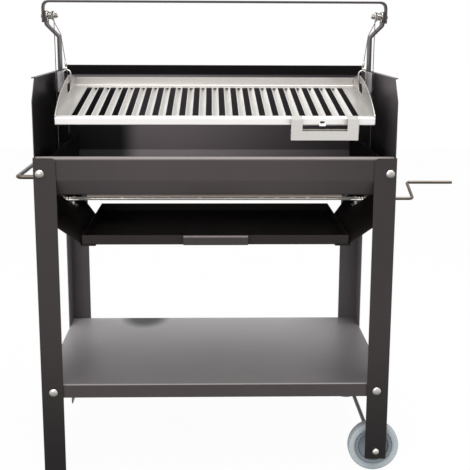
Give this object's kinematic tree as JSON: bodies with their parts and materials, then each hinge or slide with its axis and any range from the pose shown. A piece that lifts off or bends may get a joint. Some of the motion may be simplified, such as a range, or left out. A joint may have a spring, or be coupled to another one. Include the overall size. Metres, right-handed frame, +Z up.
{
  "type": "argentine grill",
  "caption": "Charcoal grill on a legged stand: a tilted V-bar grate hangs on cables that a cranked shaft winds over pulleys on an arch; ash tray, shelf and wheels below.",
  "frame": {"origin": "middle of the bottom of the whole object box, on the ground", "axes": "+Z up, +Y to the back, +X to the crank side"},
  "size_m": [1.0658, 0.5546, 1.092],
  "materials": {
    "dark_paint": "satin dark brown-grey powder coat",
    "firebox_paint": "matt heat-proof paint, inside the firebox and on the ash guides",
    "bracket_steel": "light grey satin",
    "stainless": "brushed",
    "plated_steel": "bright zinc plate",
    "cable_steel": "bare wire strand",
    "tyre": "matt grey-blue rubber",
    "hub": "matt light grey moulding"
  },
  "bodies": {
    "frame": {"front_right_leg": "dark_paint", "front_left_leg": "dark_paint", "rear_right_leg": "dark_paint", "rear_left_leg": "dark_paint", "bottom_shelf": "dark_paint", "front_panel": "dark_paint", "rear_panel": "dark_paint", "right_side_panel": "dark_paint", "left_side_panel": "dark_paint", "firebox_floor": "firebox_paint", "right_end_wall": "firebox_paint", "left_end_wall": "firebox_paint", "right_hopper_plate": "firebox_paint", "left_hopper_plate": "firebox_paint", "right_arm_bracket": "bracket_steel", "left_arm_bracket": "bracket_steel", "right_lift_arm": "dark_paint", "left_lift_arm": "dark_paint", "right_pulley_bolt": "plated_steel", "left_pulley_bolt": "plated_steel", "right_cable_riser": "cable_steel", "left_cable_riser": "cable_steel", "right_cable_drop": "cable_steel", "left_cable_drop": "cable_steel", "lift_arch": "dark_paint", "side_handle": "plated_steel", "wheel_axle": "plated_steel", "front_axle_nut": "plated_steel", "rear_axle_nut": "plated_steel", "front_right_panel_bolt": "plated_steel", "front_left_panel_bolt": "plated_steel", "rear_right_panel_bolt": "plated_steel", "rear_left_panel_bolt": "plated_steel", "front_right_shelf_bolt": "plated_steel", "front_left_shelf_bolt": "plated_steel", "rear_right_shelf_bolt": "plated_steel", "rear_left_shelf_bolt": "plated_steel"},
    "grate": {"grate_front_channel": "stainless", "grate_rack": "stainless", "right_grate_end": "stainless", "left_grate_end": "stainless", "right_hanging_ring": "plated_steel", "left_hanging_ring": "plated_steel", "right_cable_eyelet": "plated_steel", "left_cable_eyelet": "plated_steel"},
    "crank": {"crank_shaft": "plated_steel", "shaft_ring": "plated_steel", "right_cable_screw": "plated_steel", "left_cable_screw": "plated_steel", "right_cable_winding": "cable_steel", "left_cable_winding": "cable_steel"},
    "right_pulley": {"right_pulley": "plated_steel"},
    "left_pulley": {"left_pulley": "plated_steel"},
    "ash_tray": {"ash_tray": "dark_paint", "ash_tray_handle": "dark_paint"},
    "front_wheel": {"front_tyre": "tyre", "front_wheel_hub": "hub"},
    "rear_wheel": {"rear_tyre": "tyre", "rear_wheel_hub": "hub"},
    "grease_cup": {"grease_cup": "stainless"}
  },
  "joints": [
    {"name": "grate_lift", "type": "slide", "parent": "frame", "child": "grate", "axis": [0, 0, 1], "range_m": [-0.07, 0.06], "deforming": ["right_cable_drop", "left_cable_drop"]},
    {"name": "crank_turn", "type": "hinge", "parent": "frame", "child": "crank", "pos_m": [-0.08614, 0.032, 0.608], "axis": [1, 0, 0], "range_deg": [-655, 765]},
    {"name": "right_pulley_turn", "type": "hinge", "parent": "frame", "child": "right_pulley", "pos_m": [0.30386, 0.0273, 1.056], "axis": [1, 0, 0], "range_deg": [-340, 395]},
    {"name": "left_pulley_turn", "type": "hinge", "parent": "frame", "child": "left_pulley", "pos_m": [-0.47614, 0.0273, 1.056], "axis": [1, 0, 0], "range_deg": [-340, 395]},
    {"name": "ash_tray_slide", "type": "slide", "parent": "frame", "child": "ash_tray", "axis": [0, -1, 0], "range_m": [0, 0.3]},
    {"name": "front_wheel_spin", "type": "hinge", "parent": "frame", "child": "front_wheel", "pos_m": [0.28786, -0.23, 0.06], "axis": [0, 1, 0], "continuous": true},
    {"name": "rear_wheel_spin", "type": "hinge", "parent": "frame", "child": "rear_wheel", "pos_m": [0.28786, 0.23, 0.06], "axis": [0, 1, 0], "continuous": true},
    {"name": "grease_cup_lift", "type": "slide", "parent": "grate", "child": "grease_cup", "axis": [0, -0.9796, 0.2011], "range_m": [0, 0.04]}
  ],
  "couplings": [
    {"joint": "crank_turn", "follows": "grate_lift", "rad_per_m": -188.68},
    {"joint": "right_pulley_turn", "follows": "grate_lift", "rad_per_m": -97.09},
    {"joint": "left_pulley_turn", "follows": "grate_lift", "rad_per_m": -97.09}
  ]
}
